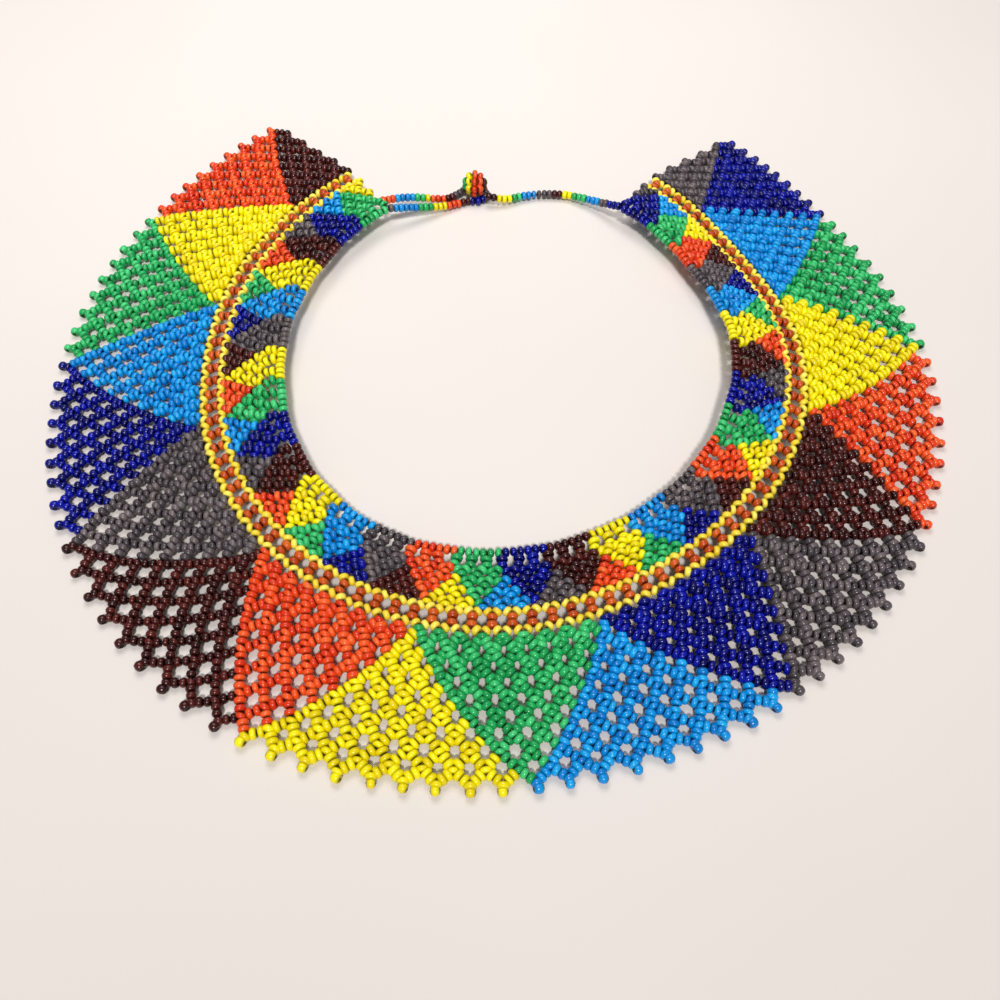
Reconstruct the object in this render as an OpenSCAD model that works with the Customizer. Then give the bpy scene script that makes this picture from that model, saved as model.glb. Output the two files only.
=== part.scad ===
// Beaded collar necklace, lying on a flat surface with its loop and button fastened.
// The netted walls are one bead thick. Millimetres, +Z up, the front of the collar towards -Y.
// The weave is counted in units along the band, from the left end at the back (0), round the front (45)
// to the right end at the back (90), and in rows of beads away from the band.

/* [Beads] */
// Diameter of a bead, which is the thickness of every netted wall
bead_d = 2.7; // [2.5:0.1:2.8]
// Diameter of the beaded button
button_d = 9; // [8:0.5:9]

/* [Form] */
// Width of the band between the two rows of notch beads
band_width = 7.2; // [6.6:0.1:7.6]

/* [Net] */
// Width of the holes behind the rim's points
rim_hole_w = 4; // [2:0.2:4.4]
// Length of the holes behind the rim's points
rim_hole_l = 4.2; // [2:0.2:4.4]
// Width of the holes beside the neck edge
neck_hole_w = 1.8; // [1:0.1:2]
// Length of the holes beside the neck edge
neck_hole_l = 3.6; // [2:0.2:3.8]
// Seam between two colour triangles, measured along a row
seam = 0.32; // [0.26:0.02:0.4]

/* [Hidden] */

// The collar's plan at equal steps of nine units, the left end first.
// Columns: angle of the band, turn of the rim against the band, radius of the rim's tip beads,
// radius of the band's outer notch beads, height of the band, radius of the neck edge, height of the neck edge
ANGLE = 0;
RIM_TURN = 1;
TIP_RADIUS = 2;
BAND_RADIUS = 3;
BAND_HEIGHT = 4;
NECK_RADIUS = 5;
NECK_HEIGHT = 6;
STATIONS = [
    [-144.0, 3.5, 135.5, 94.5, 5.0, 67, 8],
    [-115.5, 0.5, 132.3, 92.0, 3.0, 64, 8],
    [-84.0, -3.0, 132.6, 90.0, 3.5, 64, 9],
    [-55.0, -4.5, 134.2, 92.5, 5.0, 68, 7],
    [-27.0, -0.5, 134.4, 94.0, 5.0, 70, 4],
    [1.5, 2.0, 129.9, 93.0, 5.0, 68, 3],
    [31.5, 3.0, 128.8, 90.5, 5.0, 67, 4],
    [61.5, 1.5, 130.8, 91.0, 5.0, 68, 8],
    [91.0, 1.5, 131.1, 92.0, 4.0, 68, 10],
    [119.5, 1.0, 127.9, 90.0, 3.0, 67, 8],
    [147.0, -4.5, 132.5, 94.0, 5.0, 70, 8],
];
STATION_STEP = 9;
LAST_STATION = len(STATIONS) - 1;
UNITS = STATION_STEP * LAST_STATION;
// Turn of the band in one unit, in radians
UNIT_TURN = 0.0565;

bead_r = bead_d / 2;
button_r = button_d / 2;

// Rows of the outer net: the last row of the net, and where the wall's edge lies past it
OUTER_ROWS = 8;
RIM_EDGE_ROW = 9.5;
// How far the rim's flat part reaches in, as a share of the net's width
FLAT_SHARE = OUTER_ROWS / RIM_EDGE_ROW;
// How fast the net rises from the flat part to the band
RISE_POWER = 1.5;
// Half the width of a rim point's blunt tip, in units
TIP_HALF = 0.125;
// Where a row of the wall's corners lies, in rows of beads: the wall's edge is past the last row
OUTER_PLACES = [[0, 0], [7, 7], [OUTER_ROWS, 8.35], [OUTER_ROWS + 1, RIM_EDGE_ROW]];

// Rows of the inner net: its triangles' tips and the neck edge
INNER_TIP_ROW = 3;
NECK_ROW = 5;
// How far a small triangle's tip stays short of the two pieces beside it, in rows
TIP_PULL = 0.15;

// The band's zigzag edges: valleys at whole units and tips between them, outward from the notch beads
BAND_VALLEY = -1.5;
BAND_TIP = 0.45;
// Gap between the band and the nets, and how far a triangle's tip stays away from the band's
BAND_GAP = 0.3;
NET_TIP_PULL = 0.5;

// Colours in the order in which they follow each other round the collar
ORANGE = [0.88, 0.29, 0.14];
YELLOW = [0.94, 0.86, 0.10];
GREEN = [0.16, 0.62, 0.35];
LIGHT_BLUE = [0.08, 0.55, 0.82];
DARK_BLUE = [0.00, 0.05, 0.50];
GREY = [0.37, 0.33, 0.35];
MAROON = [0.28, 0.08, 0.08];
CYCLE = [ORANGE, YELLOW, GREEN, LIGHT_BLUE, DARK_BLUE, GREY, MAROON];
CYCLE_NAMES = ["orange", "yellow", "green", "light_blue", "dark_blue", "grey", "maroon"];

// The outer net has 21 triangles: even ones stand on the band, odd ones on the rim
OUTER_COUNT = 21;
FIRST_OUTER_COLOUR = 6;
function outer_colour(i) = (i + FIRST_OUTER_COLOUR) % len(CYCLE);
function two_digits(i) = str(i < 10 ? "0" : "", i);
OUTER_NODES = [for (i = [0:OUTER_COUNT - 1]) str("outer_", two_digits(i + 1), "_", CYCLE_NAMES[outer_colour(i)])];

// The inner net has 61 triangles: even ones stand on the band, odd ones on the neck edge.
// Two neighbours on the left were strung in the wrong order.
INNER_COUNT = 61;
FIRST_INNER_COLOUR = 1;
SWAPPED = 13;
function inner_colour(i) = let (j = i == SWAPPED ? i + 1 : i == SWAPPED + 1 ? i - 1 : i)
    (j + FIRST_INNER_COLOUR) % len(CYCLE);
INNER_NODES = [for (name = CYCLE_NAMES) str("inner_net_", name)];

// Plan and section of the collar

function station(i, column) = i < 0 ? 2 * STATIONS[0][column] - STATIONS[1][column]
    : i > LAST_STATION ? 2 * STATIONS[LAST_STATION][column] - STATIONS[LAST_STATION - 1][column]
    : STATIONS[i][column];

// A smooth curve through a column of the table
function along(column, u) = let (
    i = min(floor(u / STATION_STEP), LAST_STATION - 1),
    t = u / STATION_STEP - i,
    a = station(i - 1, column),
    b = station(i, column),
    c = station(i + 1, column),
    d = station(i + 2, column)
) b + t / 2 * (c - a + t * (2 * a - 5 * b + 4 * c - d + t * (3 * b - a - 3 * c + d)));

// Width of the outer net from the notch beads to the wall's edge
function outer_width(u) = along(TIP_RADIUS, u) + bead_r - along(BAND_RADIUS, u);

// Width from the outer notch beads to the neck edge
function inner_width(u) = along(BAND_RADIUS, u) - along(NECK_RADIUS, u);

// Distance between two rows of the inner net, whose last row of beads lies inside the neck edge
function inner_pitch(u) = (inner_width(u) - band_width - bead_r) / NECK_ROW;

// Height of the net's middle surface at a share of its width, for a band at this height
function rise(share, height) = bead_r + (height - bead_r) * pow(max(0, 1 - share / FLAT_SHARE), RISE_POWER);

// The point of the net's middle surface at unit u, a distance outward from the outer notch beads
function collar_point(u, outward) = let (
    share = max(0, outward / outer_width(u)),
    radius = along(BAND_RADIUS, u) + outward,
    angle = along(ANGLE, u) + along(RIM_TURN, u) * share - 90,
    inward_share = -outward / inner_width(u),
    band = along(BAND_HEIGHT, u),
    height = outward > 0 ? rise(share, band) : band + (along(NECK_HEIGHT, u) - band) * inward_share
) [radius * cos(angle), radius * sin(angle), height];

// The collar's own middle, so that the model is centred on its box
RIM_TIPS = [for (i = [0:UNITS - 1]) for (side = [-1, 1])
    let (u = i + 0.5 + side * TIP_HALF) collar_point(u, outer_width(u))];
function middle(values) = (min(values) + max(values)) / 2;
CENTRE = [middle([for (p = RIM_TIPS) p.x]), middle([for (p = RIM_TIPS) p.y]), 0];

// Mesh of a netted wall.
// A key is [unit, row, side]. Side is -1 or 1 on the seam to the left or right neighbour, which draws
// back by half the seam, 0 inside the triangle, and FREE on a hole's edge, whose row is a true place.
FREE = 9;
function key_code(key) = key[0] * 100000 + key[1] * 1000 + key[2];

// Rows up to 0 lie along the band's zigzag: -1 at its tips, 0 in its valleys, and between them the
// net's own tips. Outward from the notch beads.
BAND_SIDE = -1;
TIP_SIDE = -0.5;
function beside_band(row) = BAND_GAP
    + (row == BAND_SIDE ? BAND_TIP : row == TIP_SIDE ? BAND_TIP + NET_TIP_PULL : BAND_VALLEY);

function seam_shift(side, radius) = side == FREE ? 0 : side * seam / 2 / (radius * UNIT_TURN);

function outer_outward(u, row) = row <= 0 ? beside_band(row) : row / RIM_EDGE_ROW * outer_width(u);

function outer_place(key) = let (
    row = key[2] == FREE || key[1] <= 0 ? key[1] : lookup(key[1], OUTER_PLACES),
    u = key[0] - seam_shift(key[2], along(BAND_RADIUS, key[0]) + outer_outward(key[0], row))
) collar_point(u, outer_outward(u, row));

function inner_outward(u, row) = row <= 0 ? -band_width - beside_band(row)
    : row == NECK_ROW ? -inner_width(u)
    : -band_width - row * inner_pitch(u);

function inner_place(key) = let (
    u = key[0] - seam_shift(key[2], along(BAND_RADIUS, key[0]) + inner_outward(key[0], key[1]))
) collar_point(u, inner_outward(u, key[1]));

function band_place(key) = collar_point(key[0], key[1]);

// Triangles that fill a polygon from its first corner
function fan(polygon) = [for (i = [1:1:len(polygon) - 2]) [polygon[0], polygon[i], polygon[i + 1]]];

// Polygons between an outline and a hole whose corners are listed in step with the outline's
function frame_cells(outline, hole) = [for (i = [0:len(outline) - 1])
    let (j = (i + 1) % len(outline))
    hole[i] == hole[j] ? [outline[i], outline[j], hole[i]] : [outline[i], outline[j], hole[j], hole[i]]];

// A wall one bead thick over polygons that run anticlockwise seen from above
module netted_wall(polygons, place) {
    triangles = [for (polygon = polygons) each fan(polygon)];
    corners = [for (triangle = triangles) each triangle];
    corner_codes = [for (key = corners) key_code(key)];
    firsts = [for (i = [0:len(corners) - 1]) if (search(corner_codes[i], corner_codes)[0] == i) i];
    codes = [for (i = firsts) corner_codes[i]];
    middles = [for (i = firsts) place(corners[i]) - CENTRE];
    count = len(codes);
    faces = [for (triangle = triangles) [for (key = triangle) search(key_code(key), codes)[0]]];
    edges = [for (face = faces) for (i = [0:2]) [face[i], face[(i + 1) % 3]]];
    edge_codes = [for (edge = edges) edge[0] * count + edge[1]];
    rim = [for (edge = edges) if (len(search(edge[1] * count + edge[0], edge_codes)) == 0) edge];
    half = [0, 0, bead_r];
    polyhedron(
        points = concat([for (p = middles) p + half], [for (p = middles) p - half]),
        faces = concat(
            [for (face = faces) [face[2], face[1], face[0]]],
            [for (face = faces) [for (i = face) i + count]],
            [for (edge = rim) [edge[0], edge[1], edge[1] + count, edge[0] + count]]
        )
    );
}

// Outer net

// The rim side of a cell: one bead, or the two corners of a rim point
function rim_side(u, row) = row == OUTER_ROWS ? [[u - TIP_HALF, row + 1, 0], [u + TIP_HALF, row + 1, 0]]
    : [[u, row + 1, 0]];

// A cell lies between four beads: the inner one, the left one, the outer one and the right one
function cell(u, row) = concat([[u, row - 1, 0], [u - 0.5, row, 0]], rim_side(u, row), [[u + 0.5, row, 0]]);
function left_of_cell(u, row) = [[u, row - 1, 0], [u - 0.5, row, 0], [u, row + 1, 0]];
function right_of_cell(u, row) = [[u, row - 1, 0], [u, row + 1, 0], [u + 0.5, row, 0]];

// A cell of the last row, with its hole
HOLE_MIDDLE_ROW = 7.95;
function pierced_cell(u) = let (
    pitch = along(TIP_RADIUS, u) * UNIT_TURN,
    half_w = rim_hole_w / 2 / pitch,
    half_l = rim_hole_l / 2 * RIM_EDGE_ROW / outer_width(u),
    inner = [u, HOLE_MIDDLE_ROW - half_l, FREE],
    left = [u - half_w, HOLE_MIDDLE_ROW, FREE],
    outer = [u, HOLE_MIDDLE_ROW + half_l, FREE],
    right = [u + half_w, HOLE_MIDDLE_ROW, FREE]
) frame_cells(cell(u, OUTER_ROWS), [inner, left, outer, outer, right]);

// Where a seam crosses the middle of a cell's side, away from the cell's middle
function seam_reach(row) = row == OUTER_ROWS ? (0.5 + TIP_HALF) / 2 : 0.25;

// The halves of a cell that a seam crosses, for a triangle on the band, to the right (1) or left (-1)
function band_seam_cell(u, row, side) = let (
    inner = row == 0 ? [u, BAND_SIDE, side] : [u, row - 1, 0],
    beside = [u - side * 0.5, row, 0],
    low = [u - side * seam_reach(row), row + 0.5, side],
    high = [u + side * 0.25, row - 0.5, side],
    polygon = row == 0 ? [inner, beside, low] : [inner, beside, low, high]
) side > 0 ? polygon : [for (i = [len(polygon) - 1:-1:0]) polygon[i]];

// The same for a triangle on the rim
function rim_seam_cell(u, row, side) = let (
    high = [u - side * 0.25, row - 0.5, side],
    beside = [u - side * 0.5, row, 0],
    low = [u + side * seam_reach(row), row + 0.5, side]
) side > 0 ? concat([high, beside], rim_side(u, row), [low]) : concat([high, low], rim_side(u, row), [beside]);

// Triangle on the band, centred on a whole unit. At the collar's ends only the inside half is there.
function band_triangle(middle_u) = concat(
    [for (row = [0:OUTER_ROWS - 1]) for (i = [0:OUTER_ROWS - 1 - row])
        let (u = middle_u - (OUTER_ROWS - 1 - row) / 2 + i)
        if (u > 0 && u < UNITS) cell(u, row)
        else if (u == 0) right_of_cell(u, row)
        else if (u == UNITS) left_of_cell(u, row)],
    [for (row = [0:OUTER_ROWS]) for (side = [-1, 1])
        let (u = middle_u + side * (OUTER_ROWS + 1 - row) / 2)
        if (u > 0 && u < UNITS) band_seam_cell(u, row, side)]
);

// Triangle on the rim, with nine points along it and holes behind the inner seven
function rim_triangle(middle_u) = concat(
    [[[middle_u, TIP_SIDE, 0], [middle_u - 0.25, 0.5, -1], [middle_u, 1, 0], [middle_u + 0.25, 0.5, 1]]],
    [for (row = [2:OUTER_ROWS - 1]) for (i = [0:row - 2]) cell(middle_u - (row - 2) / 2 + i, row)],
    [for (i = [0:OUTER_ROWS - 2]) each pierced_cell(middle_u - (OUTER_ROWS - 2) / 2 + i)],
    [for (row = [1:OUTER_ROWS]) for (side = [-1, 1]) rim_seam_cell(middle_u + side * row / 2, row, side)]
);

module outer_triangle(i) {
    middle_u = i * STATION_STEP / 2;
    color(CYCLE[outer_colour(i)])
        netted_wall(i % 2 == 0 ? band_triangle(middle_u) : rim_triangle(middle_u), function (key) outer_place(key));
}

// Inner net

// Triangle on the band, three notch beads wide
function small_band_triangle(middle_u) = let (
    base = [for (i = [-3:3])
        let (u = middle_u + i / 2)
        if (u >= 0 && u <= UNITS) [u, i % 2 == 0 ? 0 : BAND_SIDE, abs(i) == 3 ? sign(i) : 0]],
    tip = [middle_u, INNER_TIP_ROW - TIP_PULL, FREE]
) [for (i = [0:len(base) - 2]) [tip, base[i], base[i + 1]]];

// Five-sided piece on the neck edge, with one hole
function neck_piece(middle_u) = let (
    outline = [
        [middle_u, TIP_SIDE, 0],
        [middle_u + 1.5, INNER_TIP_ROW, 1],
        [middle_u + 1.5, NECK_ROW, 1],
        [middle_u + 0.5, NECK_ROW, 0],
        [middle_u - 0.5, NECK_ROW, 0],
        [middle_u - 1.5, NECK_ROW, -1],
        [middle_u - 1.5, INNER_TIP_ROW, -1],
    ],
    pitch = along(NECK_RADIUS, middle_u) * UNIT_TURN,
    half_w = neck_hole_w / 2 / pitch,
    half_l = neck_hole_l / 2 / inner_pitch(middle_u),
    hole_row = (INNER_TIP_ROW + NECK_ROW) / 2,
    outer = [middle_u, hole_row - half_l, FREE],
    right = [middle_u + half_w, hole_row, FREE],
    inner = [middle_u, hole_row + half_l, FREE],
    left = [middle_u - half_w, hole_row, FREE]
) frame_cells(outline, [outer, right, right, inner, inner, left, left]);

module inner_net(colour) {
    for (i = [0:INNER_COUNT - 1])
        if (inner_colour(i) == colour)
            color(CYCLE[colour])
                netted_wall(
                    i % 2 == 0 ? small_band_triangle(i * 1.5) : neck_piece(i * 1.5),
                    function (key) inner_place(key)
                );
}

// Band

module band() {
    outer = [for (i = [0:2 * UNITS]) [i / 2, i % 2 == 0 ? BAND_VALLEY : BAND_TIP, 0]];
    inner = [for (key = outer) [key[0], -band_width - key[1], 0]];
    cells = [for (i = [0:2 * UNITS - 1]) [outer[i], outer[i + 1], inner[i + 1], inner[i]]];
    color(YELLOW) netted_wall(cells, function (key) band_place(key));
}

// Closure at the back

BUTTON_AT = [-11.5, 72, 5.9];
// Radius of the loop's bend, which lies on the surface under the button's widest part
LOOP_BEND_R = 3.95;
function loop_bend(turn) = [BUTTON_AT.x + LOOP_BEND_R * cos(turn), BUTTON_AT.y + LOOP_BEND_R * sin(turn), bead_r];
LOOP_ROUTE = concat(
    [[-42.7, 59.8, 7.3], [-38.5, 62.5, 6.3], [-33, 65, 5], [-27, 66.4, 3.6], [-21.5, 67.8, 2.4], [-18.3, 70.6, 1.6]],
    [for (turn = [150:-40:-90]) loop_bend(turn)],
    [[-13.6, 68.4, 1.4], [-17.5, 66.4, 1.6], [-21.5, 64.2, 2.4], [-27, 61.5, 4], [-33, 58.8, 5.9], [-39.7, 55.7, 7.9]]
);
STRAND_ROUTE = [
    [-7.4, 68.1, 4], [-3.4, 68, 3.2], [1, 69, 2.4], [6, 71.3, 2], [13, 72.6, 1.9], [20, 72.3, 2.1],
    [26, 69.8, 3], [31.5, 66.2, 4.5], [35.3, 63, 6.3], [38.2, 60.3, 7.9],
];
TUBE_SIDES = 8;

function unit_vector(v) = v / norm(v);
function ahead(route, i) = unit_vector(route[min(i + 1, len(route) - 1)] - route[max(i - 1, 0)]);

function ring(route, i) = let (
    direction = ahead(route, i),
    across = unit_vector(cross([0, 0, 1], direction)),
    above = cross(direction, across)
) [for (k = [0:TUBE_SIDES - 1])
    let (turn = (k + 0.5) * 360 / TUBE_SIDES)
    route[i] - CENTRE + bead_r * (cos(turn) * across + sin(turn) * above)];

// A string of beads as a plain tube along its route
module string_of_beads(route) {
    last = (len(route) - 1) * TUBE_SIDES;
    polyhedron(
        points = [for (i = [0:len(route) - 1]) each ring(route, i)],
        faces = concat(
            [[for (k = [0:TUBE_SIDES - 1]) k]],
            [for (i = [0:len(route) - 2]) for (k = [0:TUBE_SIDES - 1])
                let (a = i * TUBE_SIDES + k, b = i * TUBE_SIDES + (k + 1) % TUBE_SIDES)
                each [[a, a + TUBE_SIDES, b], [b, a + TUBE_SIDES, b + TUBE_SIDES]]],
            [[for (k = [TUBE_SIDES - 1:-1:0]) last + k]]
        )
    );
}

module closure_loop() {
    color(LIGHT_BLUE) string_of_beads(LOOP_ROUTE);
}

module closure_strand() {
    color(GREEN) string_of_beads(STRAND_ROUTE);
}

module button() {
    color(YELLOW) translate(BUTTON_AT - CENTRE) sphere(r = button_r, $fn = 64);
}

for (i = [0:OUTER_COUNT - 1]) outer_triangle(i);
for (c = [0:len(CYCLE) - 1]) inner_net(c);
band();
closure_loop();
closure_strand();
button();
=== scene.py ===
"""Looks of a beaded collar necklace: the beads of its nets, its band, its closure strings and its button.

Lengths are in millimetres until a mesh, the camera or a light is made, and metres from there on.
"""
import math
from collections import namedtuple

import bpy
import numpy as np
from mathutils import Matrix, Vector

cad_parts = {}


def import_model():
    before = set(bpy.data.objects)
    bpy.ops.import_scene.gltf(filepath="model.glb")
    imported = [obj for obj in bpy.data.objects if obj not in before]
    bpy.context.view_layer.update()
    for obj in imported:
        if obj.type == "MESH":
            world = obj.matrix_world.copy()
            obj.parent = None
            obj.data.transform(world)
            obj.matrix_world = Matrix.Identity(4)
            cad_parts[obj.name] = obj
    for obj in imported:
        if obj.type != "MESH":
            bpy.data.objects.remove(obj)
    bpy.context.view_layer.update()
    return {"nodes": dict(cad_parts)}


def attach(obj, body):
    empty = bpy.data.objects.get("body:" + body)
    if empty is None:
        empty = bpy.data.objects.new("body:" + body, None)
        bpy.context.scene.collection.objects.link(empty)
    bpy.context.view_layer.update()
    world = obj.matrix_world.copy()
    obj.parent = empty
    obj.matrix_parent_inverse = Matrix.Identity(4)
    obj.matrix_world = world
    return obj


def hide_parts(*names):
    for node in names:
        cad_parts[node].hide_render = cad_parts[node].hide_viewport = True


MM = 0.001
SEED = 20

# Beads
BEAD_LENGTH = 1.82
BEAD_WIDTH = 2.8
# Beads come from different batches, some of them thicker: widths in the outer net's triangles in order
TRIANGLE_BEAD_WIDTHS = (
    2.8, 2.95, 3.3, 2.85, 2.8, 2.7, 2.7, 2.75, 3.0, 3.3, 2.95,
    3.05, 3.3, 3.2, 2.9, 2.95, 3.3, 2.85, 2.85, 3.05, 2.85,
)
# The outer net closes up toward the band: how much wider its beads are there, and the row where that ends
CLOSING = 0.35
CLOSING_ROWS = 5
INNER_BEAD_WIDTH = 2.95
UPRIGHT_BEAD_WIDTH = 3.4
EDGE_BEAD_LENGTH = 1.85
PAIR_BEAD_LENGTH = 2.1
PAIR_BEAD_WIDTH = 2.95
TURN_BEAD_LENGTH = 2.35
TURN_BEAD_WIDTH = 2.65

# How beads differ from one another: in size between two limits, in length, in direction and in place
BEAD_SIZE_SPREAD = 0.03
SMALLEST_SIZE = 0.92
LARGEST_SIZE = 1.06
BEAD_LENGTH_SPREAD = 0.05
BEAD_TILT = 0.07
BEAD_SHIFT = 0.04

# Rings of points round a bead, the last one at the waist of its hole. Columns: place along the bead in half
# lengths, radius in the bead's radii, and how open the ring lies to the light, which sets the painted shade
# that darkens the bead's ends, shoulders and hole.
BEAD_RINGS = (
    (-1.0, 0.5, 0.32),
    (-0.7, 0.85, 0.64),
    (0.0, 1.0, 1.0),
    (0.7, 0.85, 0.64),
    (1.0, 0.5, 0.32),
    (0.0, 0.3, 0.0),
)
BEAD_SEGMENTS = 12
# The stub of thread in a bead: its two rings in the same way, how far it sticks out at each end, and the tone
# that fills its points, which its material doesn't read
THREAD_RINGS = ((-1.0, 1.0, 1.0), (1.0, 1.0, 1.0))
THREAD_SIDES = 3
THREAD_RADIUS = 0.2
THREAD_OVERHANG = 0.12
THREAD_TONE = 0.5

# Form of the collar at equal steps of nine units, the left end at the back first. A unit holds one rim
# point. Columns: angle of the band and turn of the rim against it, in degrees, radius of the rim's tip beads,
# radius of the band's outer notch beads, height of the band, radius and height of the neck edge.
ANGLE, RIM_TURN, TIP_RADIUS, BAND_RADIUS, BAND_HEIGHT, NECK_RADIUS, NECK_HEIGHT = range(7)
STATIONS = (
    (-144.0, 3.5, 135.5, 94.5, 5.0, 67, 8),
    (-115.5, 0.5, 132.3, 92.0, 3.0, 64, 8),
    (-84.0, -3.0, 132.6, 90.0, 3.5, 64, 9),
    (-55.0, -4.5, 134.2, 92.5, 5.0, 68, 7),
    (-27.0, -0.5, 134.4, 94.0, 5.0, 70, 4),
    (1.5, 2.0, 129.9, 93.0, 5.0, 68, 3),
    (31.5, 3.0, 128.8, 90.5, 5.0, 67, 4),
    (61.5, 1.5, 130.8, 91.0, 5.0, 68, 8),
    (91.0, 1.5, 131.1, 92.0, 4.0, 68, 10),
    (119.5, 1.0, 127.9, 90.0, 3.0, 67, 8),
    (147.0, -4.5, 132.5, 94.0, 5.0, 70, 8),
)
STATION_STEP = 9
LAST_STATION = len(STATIONS) - 1
UNITS = STATION_STEP * LAST_STATION
# Half the thickness of the woven wall, and the way from the band's outer notch beads to its inner ones
WALL_R = 1.35
BAND_WIDTH = 7.2
# Half width of a rim point at its tip, in units
TIP_HALF = 0.125
# Steps over which a direction in the surface is measured, in units along the band and outward
PROBE_UNITS = 0.1
PROBE_OUT = 0.3

# Rows of the outer net from the band: the last whole one, the crossing of each rim point and the wall's edge
OUTER_ROWS = 8
RIM_POINT_ROW = 8.8
RIM_EDGE_ROW = 9.5
# The net lies flat from this share of its width on, and rises to the band on a curve of this power
FLAT_SHARE = OUTER_ROWS / RIM_EDGE_ROW
RISE_POWER = 1.5

# Places of the inner net's rows of crossings and of its neck edge, from the band, in rows of equal width
INNER_PLACES = (0.0, 0.94, 1.88, 2.82, 3.76, 5.0)
LAST_INNER_ROW = 4
NECK_ROW = 5
# Upright beads: share of the way from the last crossings to the neck edge, and how far they stray sideways
UPRIGHT_SHARE = 0.46
UPRIGHT_SHIFT = 0.3

# Colours in the order in which they follow each other round the collar, and where each net starts in it
CYCLE = ("orange", "yellow", "green", "light_blue", "dark_blue", "grey", "maroon")
FIRST_OUTER_COLOUR = 6
FIRST_INNER_COLOUR = 1
# Colour triangles of the inner net: units from one to the next of a kind, rows of those whose base is on the
# band, and the triangle that has changed places with the next
INNER_STEP = 3
INNER_TRIANGLE_ROWS = 2
SWAPPED = 13
# A crossing this close to a triangle's edge, in units, is still in it
SEAM_TOLERANCE = 0.01

# Side beads on a strand from one crossing to the next row's
OUTER_SIDE_BEADS = 2
INNER_SIDE_BEADS = 1
# How far side beads stay from a crossing's middle line, and the share of what is missing there by which those
# half way move up or down
SIDE_CLEARANCE = 1.0
STACK_SHARE = 0.7
# Height of the crossings over the wall's middle, and how far one strand lies above them and the other below
NET_LIFT = 0.2
STRAND_LIFT = 0.35
# How far the outer net's first rows sag away from the band
BAND_SLACK = 0.65
SLACK_ROWS = 4

# Handwork: the nets' slow waves, how far a crossing bead strays and turns, and the neck edge's waves
NET_WAVE = 0.16
NET_SHIFT = 0.07
CROSSING_TURN = 0.12
EDGE_WAVE = 0.25
# Each wave's height, and its angle for each unit, row and phase. Phases and added rows keep waves apart.
WAVES = ((0.6, 1.3, 2.1, 1.0), (0.4, 0.47, -1.1, 2.0))
SIDEWAYS_PHASE = 0.3
OUTWARD_PHASE = 1.9
RIM_PHASE = 4.1
EDGE_PHASE = 0.7
INNER_WAVE_ROW = 20
EDGE_WAVE_ROW = 30

# Rim points: the turning bead, inward from the wall's edge, how it strays and tilts, and how far a point may
# stand off the surface
TURN_INSET = 1.4
TURN_STRAY = 0.1
TURN_TILT = 0.2
RIM_LIFT = 0.5

# Band, outward from the notch beads: middle line of the orange pairs, half the step in a pair, and the yellow
# zigzag's valleys and tips. Then the numbers of its materials.
PAIR_OUT = -3.6
PAIR_STEP = 1.05
ZIGZAG_START = -2.2
ZIGZAG_END = 0.2
BAND_YELLOW = 0
BAND_ORANGE = 1

# Closure, in the plan's frame. The loop leaves the left end, bends round the button and comes back.
BUTTON_AT = (-11.5, 72.0, 5.9)
BUTTON_R = 4.5
LOOP_BEND_R = 3.95
LOOP_START = (
    (-42.7, 59.8, 7.3), (-38.5, 62.5, 6.3), (-33, 65, 5),
    (-27, 66.4, 3.6), (-21.5, 67.8, 2.4), (-18.3, 70.6, 1.6),
)
LOOP_TURNS = (150, 110, 70, 30, -10, -50, -90)
LOOP_END = (
    (-13.6, 68.4, 1.4), (-17.5, 66.4, 1.6), (-21.5, 64.2, 2.4),
    (-27, 61.5, 4), (-33, 58.8, 5.9), (-39.7, 55.7, 7.9),
)
STRAND_ROUTE = (
    (-7.4, 68.1, 4), (-3.4, 68, 3.2), (1, 69, 2.4), (6, 71.3, 2), (13, 72.6, 1.9),
    (20, 72.3, 2.1), (26, 69.8, 3), (31.5, 66.2, 4.5), (35.3, 63, 6.3), (38.2, 60.3, 7.9),
)
STRING_PITCH = 1.82
# Steps of a smooth route between two of its points
ROUTE_STEPS = 12
# Runs of one colour along the strings, from the collar's left end to its right end
LOOP_RUNS = (
    ("orange", 3), ("light_blue", 4), ("green", 2), ("yellow", 1), ("orange", 3), ("maroon", 2),
    ("grey", 4), ("maroon", 4), ("grey", 2), ("dark_blue", 3), ("maroon", 2), ("orange", 3),
    ("yellow", 3), ("green", 3), ("light_blue", 5), ("grey", 3),
)
STRAND_RUNS = (
    ("maroon", 2), ("yellow", 3), ("green", 2), ("light_blue", 3), ("grey", 3), ("maroon", 2),
    ("yellow", 2), ("green", 3), ("light_blue", 3), ("grey", 2), ("dark_blue", 3),
)
# Rings of beads over the button: colour, angle from its left pole in degrees, number of beads
BUTTON_RINGS = (
    ("green", 18, 3), ("yellow", 54, 7), ("orange", 90, 8), ("orange", 126, 7), ("maroon", 162, 3),
)

# Camera in the plan's frame, its two angles in degrees and its focal length as a share of the sensor
EYE = (0.8, -171.656, 203.992)
CAMERA_DOWN = 59.48
CAMERA_ROLL = 1.87
FOCAL_SHARE = 0.85
SENSOR = 36.0
# In metres
CLIP_START = 0.01

# Glass: each colour from the darkest bead to the palest, as screen colours from 0 to 255
GLASS_TONES = {
    "orange": ((204, 44, 12), (228, 70, 22), (242, 98, 40)),
    "yellow": ((224, 202, 0), (239, 222, 0), (250, 236, 12)),
    "green": ((20, 140, 70), (32, 168, 90), (66, 198, 116)),
    "light_blue": ((0, 112, 190), (0, 138, 214), (24, 164, 232)),
    "dark_blue": ((0, 3, 82), (0, 7, 120), (3, 18, 154)),
    "grey": ((62, 56, 60), (82, 74, 78), (108, 98, 100)),
    "maroon": ((44, 10, 8), (62, 17, 14), (84, 26, 20)),
    "band_orange": ((168, 58, 8), (190, 74, 14), (206, 92, 24)),
    "band_yellow": ((232, 200, 44), (242, 216, 62), (250, 230, 92)),
}
GLASS_ROUGHNESS = (0.14, 0.3)
GLASS_IOR = 1.45
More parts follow.
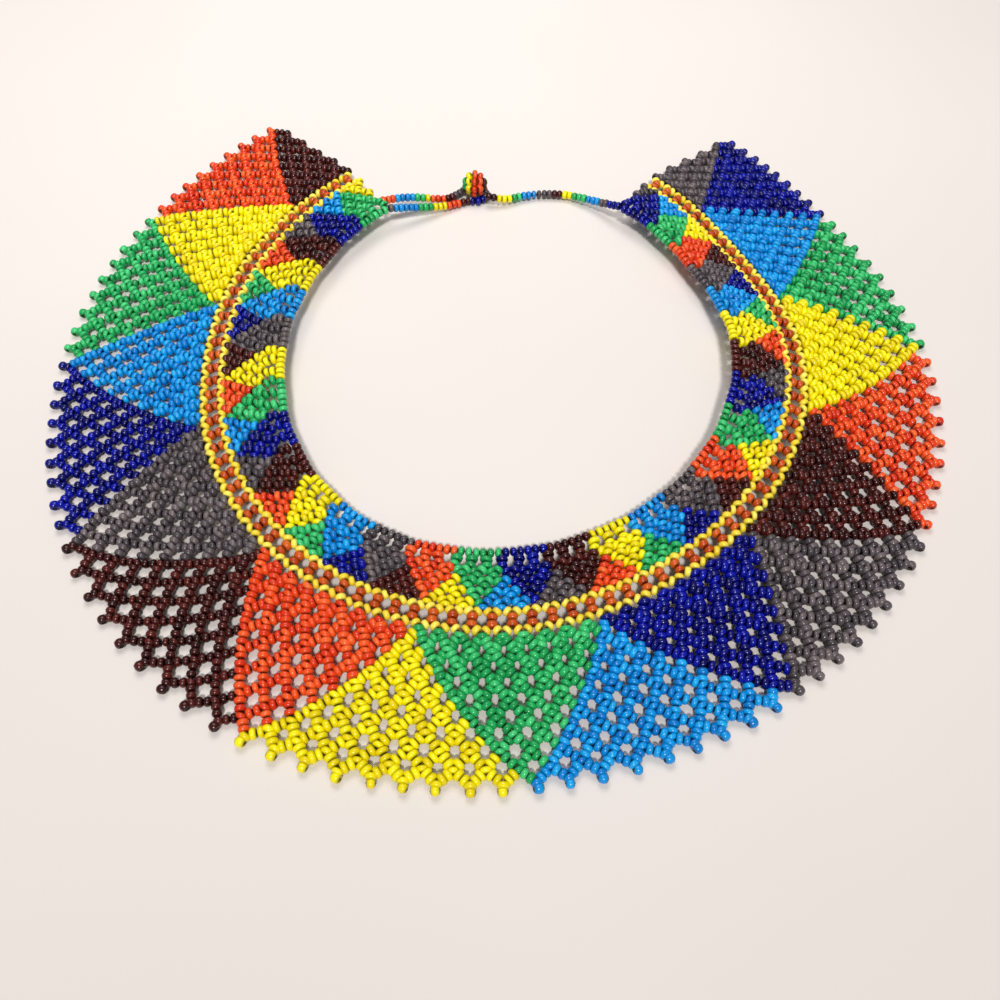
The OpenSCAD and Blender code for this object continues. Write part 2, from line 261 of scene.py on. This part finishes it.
# The glass's fine grain, its depth in metres
GRAIN_SCALE = 700.0
GRAIN_STRENGTH = 0.25
GRAIN_DEPTH = 0.0001
# Painted shade on the glass: share of its colour that it keeps deep in the hole, and how open to the light a
# place must be to keep all of it
HOLE_SHADE = 0.12
OPEN_ENOUGH = 0.8

THREAD_TONES = ((40, 32, 28), (84, 70, 60))
THREAD_GRAIN_SCALE = 3000.0
THREAD_ROUGHNESS = 0.7

# Surroundings, in metres. The key light's angle is its width in degrees.
FLOOR_HALF = 2.0
FLOOR_TONES = ((215, 208, 202), (223, 216, 210))
FLOOR_GRAIN_SCALE = 6.0
FLOOR_ROUGHNESS = 0.75
LIGHT_COLOUR = (1.0, 0.98, 0.975)
KEY_FROM = (0.05, -0.6, 1.0)
KEY_STRENGTH = 2.42
KEY_ANGLE = 8
TOP_LIGHT_AT = (-0.06, 0.2, 0.45)
TOP_LIGHT_TARGET = (-0.06, 0.17, 0)
TOP_LIGHT_SIZE = 0.3
TOP_LIGHT_POWER = 1.4
SKY_COLOUR = (1.0, 1.0, 1.0, 1.0)
SKY_STRENGTH = 0.23

rng = np.random.default_rng(SEED)


# Form of the collar

def curve(a, b, c, d, t):
    """A smooth curve from b to c as t goes from 0 to 1, with a before them and d after them."""
    return b + t / 2 * (c - a + t * (2 * a - 5 * b + 4 * c - d + t * (3 * b - a - 3 * c + d)))


def station(i, column):
    """A column's value at station i, carried on past both ends."""
    if i < 0:
        return 2 * STATIONS[0][column] - STATIONS[1][column]
    if i > LAST_STATION:
        return 2 * STATIONS[LAST_STATION][column] - STATIONS[LAST_STATION - 1][column]
    return STATIONS[i][column]


def along(column, u):
    """A column's value at unit u, on a smooth curve through the table."""
    i = min(max(int(u // STATION_STEP), 0), LAST_STATION - 1)
    a, b, c, d = (station(k, column) for k in range(i - 1, i + 3))
    return curve(a, b, c, d, u / STATION_STEP - i)


def outer_width(u):
    """Width of the outer net from the notch beads to the wall's edge."""
    return along(TIP_RADIUS, u) + WALL_R - along(BAND_RADIUS, u)


def inner_width(u):
    """Width from the outer notch beads to the neck edge."""
    return along(BAND_RADIUS, u) - along(NECK_RADIUS, u)


def inner_outward(u, place):
    """Distance outward from the outer notch beads of a place in the inner net, in rows."""
    pitch = (inner_width(u) - BAND_WIDTH - WALL_R) / NECK_ROW
    return -BAND_WIDTH - place * pitch


def plan_point(u, outward):
    """A point of the net's middle surface, a distance outward from the outer notch beads."""
    share = max(0.0, outward / outer_width(u))
    radius = along(BAND_RADIUS, u) + outward
    angle = math.radians(along(ANGLE, u) + along(RIM_TURN, u) * share - 90)
    band = along(BAND_HEIGHT, u)
    if outward > 0:
        height = WALL_R + (band - WALL_R) * max(0.0, 1 - share / FLAT_SHARE) ** RISE_POWER
    else:
        height = band + (along(NECK_HEIGHT, u) - band) * -outward / inner_width(u)
    return np.array((radius * math.cos(angle), radius * math.sin(angle), height))


def find_centre():
    """The middle of the rim's tips, which the part is centred on."""
    places = [i + 0.5 + side * TIP_HALF for i in range(UNITS) for side in (-1, 1)]
    tips = np.array([plan_point(u, outer_width(u)) for u in places])
    middle = (tips.min(axis=0) + tips.max(axis=0)) / 2
    middle[2] = 0
    return middle


CENTRE = find_centre()


def collar_point(u, outward):
    """The same point in the part's own frame."""
    return plan_point(u, outward) - CENTRE


def unit(v):
    """The vector at length one."""
    return v / np.linalg.norm(v)


def rightward(u, outward):
    """Direction in which the units grow."""
    return unit(collar_point(u + PROBE_UNITS, outward) - collar_point(u - PROBE_UNITS, outward))


def outward_way(u, outward):
    """Direction away from the neck, in the surface."""
    return unit(collar_point(u, outward + PROBE_OUT) - collar_point(u, outward - PROBE_OUT))


# Which piece a bead belongs to

def outer_piece(i):
    """Name of the outer net's triangle i."""
    return "outer_%02d_%s" % (i + 1, CYCLE[(i + FIRST_OUTER_COLOUR) % len(CYCLE)])


def inner_piece(i):
    """Name of the node that holds the inner net's triangle i."""
    if i == SWAPPED:
        i = i + 1
    elif i == SWAPPED + 1:
        i = i - 1
    return "inner_net_" + CYCLE[(i + FIRST_INNER_COLOUR) % len(CYCLE)]


def rim_owner(u):
    """Triangle of the outer net that stands on the rim at unit u."""
    return outer_piece(2 * min(int(u // STATION_STEP), LAST_STATION - 1) + 1)


def outer_owner(u, row):
    """Triangle of the outer net that holds the crossing bead at unit u in a row."""
    nearest = round(u / STATION_STEP)
    if abs(u - STATION_STEP * nearest) <= (OUTER_ROWS - row) / 2 + SEAM_TOLERANCE:
        return outer_piece(2 * nearest)
    return rim_owner(u)


def inner_owner(u, row):
    """Triangle of the inner net that holds the crossing bead at unit u in a row."""
    nearest = round(u / INNER_STEP)
    if abs(u - INNER_STEP * nearest) <= (INNER_TRIANGLE_ROWS - row) / 2 + SEAM_TOLERANCE:
        return inner_piece(2 * nearest)
    return inner_piece(2 * min(int(u // INNER_STEP), UNITS // INNER_STEP - 1) + 1)


# Beads, kept per piece as rows with these columns

MIDDLE = slice(0, 3)
AXIS = slice(3, 6)
LENGTH, WIDTH, TONE, PAINT = range(6, 10)

beads = {}


def add_bead(piece, middle, axis, length=BEAD_LENGTH, width=BEAD_WIDTH, paint=0):
    """Adds one bead with its small irregularities. Its paint is the number of its material in the piece."""
    size = min(max(1 + rng.normal(0, BEAD_SIZE_SPREAD), SMALLEST_SIZE), LARGEST_SIZE)
    middle = np.asarray(middle, float) + rng.normal(0, BEAD_SHIFT, 3)
    axis = unit(np.asarray(axis, float) + rng.normal(0, BEAD_TILT, 3))
    length = length * size * (1 + rng.normal(0, BEAD_LENGTH_SPREAD))
    width = width * size
    middle[2] = max(middle[2], width / 2)
    beads.setdefault(piece, []).append((*middle, *axis, length, width, rng.random(), paint))


def net_bead_width(piece, row):
    """Width of a bead in a net's piece and row. A piece of the outer net has its number in its name."""
    if piece.startswith("inner_net_"):
        return INNER_BEAD_WIDTH
    number = int(piece.split("_")[1])
    return TRIANGLE_BEAD_WIDTHS[number - 1] + CLOSING * max(0.0, 1 - row / CLOSING_ROWS)


# Nets

Crossing = namedtuple("Crossing", "middle axis right")


def waves(u, row, phase):
    """Slow irregular shift of the net, between about -1 and 1."""
    return sum(height * math.sin(per_unit * u + per_row * row + per_phase * phase)
               for height, per_unit, per_row, per_phase in WAVES)


def crossing(u, row, outward):
    """Middle, axis and rightward way of a crossing bead, shifted a little as in handwork."""
    right = rightward(u, outward)
    away = outward_way(u, outward)
    middle = collar_point(u, outward) + np.array((0, 0, NET_LIFT))
    middle = middle + right * (NET_WAVE * waves(u, row, SIDEWAYS_PHASE) + rng.normal(0, NET_SHIFT))
    middle = middle + away * (NET_WAVE * waves(u, row, OUTWARD_PHASE) + rng.normal(0, NET_SHIFT))
    return Crossing(middle, unit(away + right * rng.normal(0, CROSSING_TURN)), right)


def join(piece, lower, upper, side, count, width):
    """Side beads on the strand from one crossing to the next row's, which lies to that side.

    Two strands meet at a crossing. A side bead close to one moves aside, and one half way moves up or down.
    """
    step = upper.middle - lower.middle
    right = unit(lower.right + upper.right)
    lift = np.array((0, 0, side * STRAND_LIFT))
    half_unit = abs(step @ right)
    spots = [lower.middle]
    for k in range(1, count + 1):
        share = k / (count + 1)
        missing = max(0.0, SIDE_CLEARANCE - half_unit * min(share, 1 - share))
        spot = lower.middle + step * share
        if share < 0.5:
            spot = spot + right * side * missing
        elif share > 0.5:
            spot = spot - right * side * missing
        else:
            spot = spot + np.array((0, 0, side * STACK_SHARE * missing))
        spots.append(spot)
    spots.append(upper.middle)
    for k in range(1, count + 1):
        add_bead(piece, spots[k] + lift, spots[k + 1] - spots[k - 1], width=width)


def row_units(row):
    """Units of the crossing beads in a row: whole in even rows, and half way between in odd ones."""
    odd = row % 2
    return [odd / 2 + i for i in range(UNITS + 1 - odd)]


def weave(crossings, owner, side_beads):
    """A bead at each crossing, and side beads to the next row. The function owner names a bead's piece."""
    for (u, row), spot in crossings.items():
        piece = owner(u, row)
        add_bead(piece, spot.middle, spot.axis, width=net_bead_width(piece, row))
        for side in (-1, 1):
            upper = crossings.get((u + side / 2, row + 1))
            if upper is not None:
                piece = owner(u, row) if side > 0 else owner(u + side / 2, row + 1)
                join(piece, spot, upper, side, side_beads, net_bead_width(piece, row + 0.5))


def make_outer_net():
    """Crossing beads in rows 0 to 8, two side beads on each strand between them, and the rim's points."""
    crossings = {}
    for row in range(OUTER_ROWS + 1):
        slack = BAND_SLACK * max(0.0, 1 - row / SLACK_ROWS)
        for u in row_units(row):
            crossings[u, row] = crossing(u, row, row / RIM_EDGE_ROW * outer_width(u) + slack)
    weave(crossings, outer_owner, OUTER_SIDE_BEADS)
    for u in row_units(1):
        make_rim_point(u, crossings[u - 0.5, OUTER_ROWS], crossings[u + 0.5, OUTER_ROWS])


def make_rim_point(u, left, right):
    """The last crossing with its side beads, and the bead at the tip round which the thread turns back."""
    piece = rim_owner(u)
    edge = outer_width(u)
    outward = RIM_POINT_ROW / RIM_EDGE_ROW * edge
    spot = crossing(u, RIM_POINT_ROW, outward)
    lift = np.array((0, 0, RIM_LIFT * max(0.0, waves(u, 0, RIM_PHASE)) * rng.random()))
    spot = spot._replace(middle=spot.middle + lift)
    width = net_bead_width(piece, RIM_POINT_ROW)
    add_bead(piece, spot.middle, spot.axis, width=width)
    left_piece = outer_owner(u - 0.5, OUTER_ROWS)
    join(left_piece, left, spot, 1, OUTER_SIDE_BEADS, net_bead_width(left_piece, RIM_POINT_ROW))
    join(piece, right, spot, -1, OUTER_SIDE_BEADS, width)
    reach = edge - TURN_INSET - outward
    turn = spot.middle + unit(spot.axis + spot.right * rng.normal(0, TURN_STRAY)) * reach
    turn_axis = spot.right + spot.axis * rng.normal(0, TURN_TILT)
    add_bead(piece, turn, turn_axis, TURN_BEAD_LENGTH, TURN_BEAD_WIDTH)


def make_inner_net():
    """Crossing beads in rows 0 to 4, one side bead on each strand, upright beads and the neck edge."""
    crossings = {}
    for row in range(LAST_INNER_ROW + 1):
        for u in row_units(row):
            crossings[u, row] = crossing(u, row + INNER_WAVE_ROW, inner_outward(u, INNER_PLACES[row]))
    weave(crossings, inner_owner, INNER_SIDE_BEADS)
    make_upright_beads()
    make_neck_edge()


def make_upright_beads():
    """The upright beads between the last crossings and the neck edge."""
    for u in row_units(0):
        top = inner_outward(u, INNER_PLACES[LAST_INNER_ROW])
        bottom = inner_outward(u, INNER_PLACES[NECK_ROW])
        outward = top + (bottom - top) * UPRIGHT_SHARE
        middle = collar_point(u, outward) + rightward(u, outward) * rng.normal(0, UPRIGHT_SHIFT)
        add_bead(inner_owner(u, LAST_INNER_ROW), middle, outward_way(u, outward), width=UPRIGHT_BEAD_WIDTH)


def make_neck_edge():
    """The closing row of beads, two in each unit."""
    for i in range(2 * UNITS):
        u = (i + 0.5) / 2
        outward = inner_outward(u, INNER_PLACES[NECK_ROW])
        middle = collar_point(u, outward + EDGE_WAVE * waves(u, EDGE_WAVE_ROW, EDGE_PHASE))
        add_bead(inner_owner(u, LAST_INNER_ROW), middle, rightward(u, outward), length=EDGE_BEAD_LENGTH)


# Band

def make_band():
    """Orange pairs between two yellow zigzags."""
    for i in range(UNITS):
        u = i + 0.5
        away = outward_way(u, PAIR_OUT)
        for side in (-1, 1):
            middle = collar_point(u, PAIR_OUT + side * PAIR_STEP)
            add_bead("band", middle, away, PAIR_BEAD_LENGTH, PAIR_BEAD_WIDTH, BAND_ORANGE)
        for side in (-1, 1):
            make_zigzag(i, side)


def make_zigzag(i, side):
    """The two yellow beads from unit i's pair to the notch beads, on the outer (1) or inner side (-1)."""
    start = zigzag_point(i + 0.5, ZIGZAG_START, side)
    for notch in (i, i + 1):
        end = zigzag_point(notch, ZIGZAG_END, side)
        add_bead("band", (start + end) / 2, end - start, paint=BAND_YELLOW)


def zigzag_point(u, beyond, side):
    """A point a distance beyond the notch beads of one side of the band."""
    return collar_point(u, beyond if side > 0 else -BAND_WIDTH - beyond)


# Closure

def smooth_route(points, pitch):
    """Points at equal steps along a smooth curve through the given ones."""
    padded = np.vstack((2 * points[0] - points[1], points, 2 * points[-1] - points[-2]))
    dense = []
    for i in range(len(points) - 1):
        for t in np.linspace(0, 1, ROUTE_STEPS, endpoint=False):
            dense.append(curve(*padded[i:i + 4], t))
    dense = np.array(dense + [points[-1]])
    marks = np.concatenate(([0], np.cumsum(np.linalg.norm(np.diff(dense, axis=0), axis=1))))
    count = int(round(marks[-1] / pitch))
    places = np.linspace(0, marks[-1], count + 1)
    return np.column_stack([np.interp(places, marks, values) for values in dense.T])


def make_string(piece, route, runs):
    """Beads end to end along a route, in short runs of one colour."""
    colours = [colour for colour, count in runs for _ in range(count)]
    ends = smooth_route(np.array(route) - CENTRE, STRING_PITCH)
    for k in range(len(ends) - 1):
        paint = CYCLE.index(colours[k % len(colours)])
        add_bead(piece, (ends[k] + ends[k + 1]) / 2, ends[k + 1] - ends[k], paint=paint)


def loop_bend():
    """The loop's stretch round the button's foot."""
    bend = []
    for turn in LOOP_TURNS:
        x = BUTTON_AT[0] + LOOP_BEND_R * math.cos(math.radians(turn))
        y = BUTTON_AT[1] + LOOP_BEND_R * math.sin(math.radians(turn))
        bend.append((x, y, WALL_R))
    return tuple(bend)


def make_button():
    """The beads that cover the button, in rings round the line between its poles."""
    pole = np.array((1.0, 0, 0))
    shell = BUTTON_R - BEAD_WIDTH / 2
    for k, (colour, polar, count) in enumerate(BUTTON_RINGS):
        polar = math.radians(polar)
        for n in range(count):
            turn = 2 * math.pi * (n + 0.5 * (k % 2)) / count
            ring = np.array((0.0, math.cos(turn), math.sin(turn)))
            way = -math.cos(polar) * pole + math.sin(polar) * ring
            axis = math.sin(polar) * pole + math.cos(polar) * ring
            middle = np.array(BUTTON_AT) - CENTRE + way * shell
            add_bead("button", middle, axis, paint=CYCLE.index(colour))


def make_closure():
    """The loop, the strand and the button."""
    make_string("closure_loop", LOOP_START + loop_bend() + LOOP_END, LOOP_RUNS)
    make_string("closure_strand", STRAND_ROUTE, STRAND_RUNS)
    make_button()


# Meshes

def basis(axes):
    """Two directions across each axis."""
    upright = np.abs(axes[:, 2:3]) > 0.9
    helper = np.where(upright, np.array([[1.0, 0, 0]]), np.array([[0, 0, 1.0]]))
    first = np.cross(helper, axes)
    first = first / np.linalg.norm(first, axis=1, keepdims=True)
    return first, np.cross(axes, first)


def tube_faces(rings, sides, closed):
    """Quads between neighbouring rings of one bead or thread."""
    faces = []
    for k in range(rings if closed else rings - 1):
        after = (k + 1) % rings
        for s in range(sides):
            t = (s + 1) % sides
            faces.append((k * sides + s, k * sides + t, after * sides + t, after * sides + s))
    return np.array(faces)


def ring_points(rows, rings, sides, half_lengths, radii):
    """Points of every bead's rings, as an array of beads, points and coordinates."""
    middles = rows[:, MIDDLE]
    axes = rows[:, AXIS]
    first, second = basis(axes)
    points = []
    for place, width, _ in rings:
        for s in range(sides):
            turn = 2 * math.pi * s / sides
            across = math.cos(turn) * first + math.sin(turn) * second
            points.append(middles + axes * (half_lengths * place) + across * (radii * width))
    return np.stack(points, axis=1)


def repeat_faces(template, points):
    """The template's faces for each bead's points, which follow one another."""
    starts = np.arange(points.shape[0]) * points.shape[1]
    return (template[None] + starts[:, None, None]).reshape(-1, template.shape[1])


def add_mesh(name, points, faces, paints, attributes):
    """A mesh object from arrays."""
    mesh = bpy.data.meshes.new(name)
    mesh.vertices.add(len(points))
    mesh.vertices.foreach_set("co", (points * MM).astype(np.float32).ravel())
    mesh.loops.add(faces.size)
    mesh.loops.foreach_set("vertex_index", faces.astype(np.int32).ravel())
    mesh.polygons.add(len(faces))
    mesh.polygons.foreach_set("loop_start", np.arange(0, faces.size, faces.shape[1], dtype=np.int32))
    mesh.polygons.foreach_set("material_index", paints.astype(np.int32))
    mesh.polygons.foreach_set("use_smooth", np.ones(len(faces), dtype=bool))
    for key, values in attributes.items():
        layer = mesh.attributes.new(key, "FLOAT", "POINT")
        layer.data.foreach_set("value", values.astype(np.float32))
    mesh.update(calc_edges=True)
    mesh.validate()
    piece = bpy.data.objects.new(name, mesh)
    bpy.context.scene.collection.objects.link(piece)
    return piece


def build_piece(node, materials):
    """The joined beads and threads of one node. The last material is the thread's."""
    rows = np.array(beads[node])
    half_lengths = rows[:, LENGTH, None] / 2
    radii = rows[:, WIDTH, None] / 2
    points = ring_points(rows, BEAD_RINGS, BEAD_SEGMENTS, half_lengths, radii)
    template = tube_faces(len(BEAD_RINGS), BEAD_SEGMENTS, True)
    faces = repeat_faces(template, points)
    paints = np.repeat(rows[:, PAINT], len(template))
    tones = np.repeat(rows[:, TONE], points.shape[1])
    # Painted shade: each point's share of light, low at a bead's ends and shoulders and lowest in its hole;
    # threads get none
    painted_light = np.tile(np.repeat([lit_share for _, _, lit_share in BEAD_RINGS], BEAD_SEGMENTS), len(rows))

    thread_radii = np.full_like(radii, THREAD_RADIUS)
    threads = ring_points(rows, THREAD_RINGS, THREAD_SIDES, half_lengths + THREAD_OVERHANG, thread_radii)
    thread_faces = repeat_faces(tube_faces(len(THREAD_RINGS), THREAD_SIDES, False), threads)
    thread_paints = np.full(len(thread_faces), len(materials) - 1)

    points = points.reshape(-1, 3)
    threads = threads.reshape(-1, 3)
    piece = add_mesh(
        "beads_" + node,
        np.concatenate((points, threads)),
        np.concatenate((faces, thread_faces + len(points))),
        np.concatenate((paints, thread_paints)),
        {
            "bead_tone": np.concatenate((tones, np.full(len(threads), THREAD_TONE))),
            "bead_painted_light": np.concatenate((painted_light, np.ones(len(threads)))),
        },
    )
    for material in materials:
        piece.data.materials.append(material)
    return piece


# Materials

def to_linear(rgb):
    """A screen colour from 0 to 255 as a linear one."""
    parts = []
    for value in rgb:
        c = value / 255
        parts.append(c / 12.92 if c <= 0.04045 else ((c + 0.055) / 1.055) ** 2.4)
    return (*parts, 1.0)


def new_material(name):
    """A node material, its nodes, its links and its shader."""
    material = bpy.data.materials.new(name)
    material.use_nodes = True
    nodes = material.node_tree.nodes
    return material, nodes, material.node_tree.links, nodes["Principled BSDF"]


def object_noise(nodes, links, scale):
    """A fine noise in the object's own coordinates."""
    place = nodes.new("ShaderNodeTexCoord")
    noise = nodes.new("ShaderNodeTexNoise")
    noise.inputs["Scale"].default_value = scale
    links.new(place.outputs["Object"], noise.inputs["Vector"])
    return noise.outputs["Fac"]


def point_value(nodes, name):
    """A value that the mesh holds at its points."""
    value = nodes.new("ShaderNodeAttribute")
    value.attribute_name = name
    return value.outputs["Fac"]


def tone_ramp(nodes, links, value, tones):
    """Colours at equal steps of a value from 0 to 1."""
    ramp = nodes.new("ShaderNodeValToRGB")
    stops = ramp.color_ramp.elements
    stops[0].color = to_linear(tones[0])
    stops[1].color = to_linear(tones[-1])
    for i, tone in enumerate(tones[1:-1], start=1):
        stops.new(i / (len(tones) - 1)).color = to_linear(tone)
    links.new(value, ramp.inputs["Fac"])
    return ramp.outputs["Color"]


def map_value(nodes, links, value, highest, start, end):
    """A value between 0 and highest, mapped to go from start to end."""
    mapped = nodes.new("ShaderNodeMapRange")
    mapped.inputs["From Max"].default_value = highest
    mapped.inputs["To Min"].default_value = start
    mapped.inputs["To Max"].default_value = end
    links.new(value, mapped.inputs["Value"])
    return mapped.outputs["Result"]


def glass_material(name, tones):
    """Opaque glossy glass whose colour changes a little from bead to bead, with painted shade that darkens it
    at the ends, the shoulders and most in the hole.
    """
    material, nodes, links, shader = new_material(name)
    shade = nodes.new("ShaderNodeMix")
    shade.data_type = "RGBA"
    shade.blend_type = "MULTIPLY"
    shade.inputs["Factor"].default_value = 1.0
    links.new(tone_ramp(nodes, links, point_value(nodes, "bead_tone"), tones), shade.inputs["A"])
    # Painted shade: the bead's colour multiplied by how open each place lies to the light
    lit_share = point_value(nodes, "bead_painted_light")
    links.new(map_value(nodes, links, lit_share, OPEN_ENOUGH, HOLE_SHADE, 1.0), shade.inputs["B"])
    links.new(shade.outputs["Result"], shader.inputs["Base Color"])

    grain = object_noise(nodes, links, GRAIN_SCALE)
    links.new(map_value(nodes, links, grain, 1.0, *GLASS_ROUGHNESS), shader.inputs["Roughness"])
    bump = nodes.new("ShaderNodeBump")
    bump.inputs["Strength"].default_value = GRAIN_STRENGTH
    bump.inputs["Distance"].default_value = GRAIN_DEPTH
    links.new(grain, bump.inputs["Height"])
    links.new(bump.outputs["Normal"], shader.inputs["Normal"])
    shader.inputs["IOR"].default_value = GLASS_IOR
    return material


def mottled_material(name, tones, scale, roughness):
    """A dull material whose colour wanders between two tones."""
    material, nodes, links, shader = new_material(name)
    colour = tone_ramp(nodes, links, object_noise(nodes, links, scale), tones)
    links.new(colour, shader.inputs["Base Color"])
    shader.inputs["Roughness"].default_value = roughness
    return material


# Surroundings

def add_floor():
    """A plain pale surface."""
    half = FLOOR_HALF
    corners = [(-half, -half, 0), (half, -half, 0), (half, half, 0), (-half, half, 0)]
    mesh = bpy.data.meshes.new("floor")
    mesh.from_pydata(corners, [], [(0, 1, 2, 3)])
    mesh.materials.append(mottled_material("pale_surface", FLOOR_TONES, FLOOR_GRAIN_SCALE, FLOOR_ROUGHNESS))
    floor = bpy.data.objects.new("floor", mesh)
    bpy.context.scene.collection.objects.link(floor)


def add_light(name, kind, energy, way):
    """A light of one kind, turned along a direction."""
    data = bpy.data.lights.new(name, kind)
    data.energy = energy
    data.color = LIGHT_COLOUR
    light = bpy.data.objects.new(name, data)
    light.rotation_euler = way.to_track_quat("-Z", "Y").to_euler()
    bpy.context.scene.collection.objects.link(light)
    return light


def add_lights():
    """A far soft key from above the front, a soft square light high above the back, and an even sky."""
    key = add_light("key_light", "SUN", KEY_STRENGTH, -Vector(KEY_FROM))
    key.data.angle = math.radians(KEY_ANGLE)
    top = add_light("top_light", "AREA", TOP_LIGHT_POWER, Vector(TOP_LIGHT_TARGET) - Vector(TOP_LIGHT_AT))
    top.location = TOP_LIGHT_AT
    top.data.shape = "SQUARE"
    top.data.size = TOP_LIGHT_SIZE
    world = bpy.data.worlds.new("studio")
    world.use_nodes = True
    background = world.node_tree.nodes["Background"]
    background.inputs["Color"].default_value = SKY_COLOUR
    background.inputs["Strength"].default_value = SKY_STRENGTH
    bpy.context.scene.world = world
    bpy.context.scene.view_settings.view_transform = "Standard"


def add_camera():
    """The camera at the photograph's place."""
    data = bpy.data.cameras.new("camera")
    data.sensor_width = SENSOR
    data.lens = SENSOR * FOCAL_SHARE
    data.clip_start = CLIP_START
    down = math.radians(CAMERA_DOWN)
    roll = math.radians(CAMERA_ROLL)
    right = Vector((1, 0, 0))
    forward = Vector((0, math.cos(down), -math.sin(down)))
    up = Vector((0, math.sin(down), math.cos(down)))
    x_axis = right * math.cos(roll) + up * math.sin(roll)
    y_axis = up * math.cos(roll) - right * math.sin(roll)
    turned = Matrix((x_axis, y_axis, -forward)).transposed().to_4x4()
    eye = Vector((np.array(EYE) - CENTRE) * MM)
    camera = bpy.data.objects.new("camera", data)
    camera.matrix_world = Matrix.Translation(eye) @ turned
    bpy.context.scene.collection.objects.link(camera)
    bpy.context.scene.camera = camera


def dress(node, materials):
    """Puts a node's beads on the collar in its place."""
    piece = build_piece(node, materials)
    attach(piece, "root")
    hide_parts(node)


def main():
    """Loads the frame and dresses it."""
    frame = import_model()
    add_camera()
    make_outer_net()
    make_band()
    make_inner_net()
    make_closure()

    glass = {name: glass_material("glass_" + name, tones) for name, tones in GLASS_TONES.items()}
    thread = mottled_material("thread", THREAD_TONES, THREAD_GRAIN_SCALE, THREAD_ROUGHNESS)
    for node in sorted(frame["nodes"]):
        if node.startswith(("outer_", "inner_net_")):
            colour = node.split("_", 2)[2]
            dress(node, [glass[colour], thread])
    dress("band", [glass["band_yellow"], glass["band_orange"], thread])
    string_paints = [glass[name] for name in CYCLE] + [thread]
    dress("closure_loop", string_paints)
    dress("closure_strand", string_paints)
    dress("button", string_paints)

    add_floor()
    add_lights()


main()
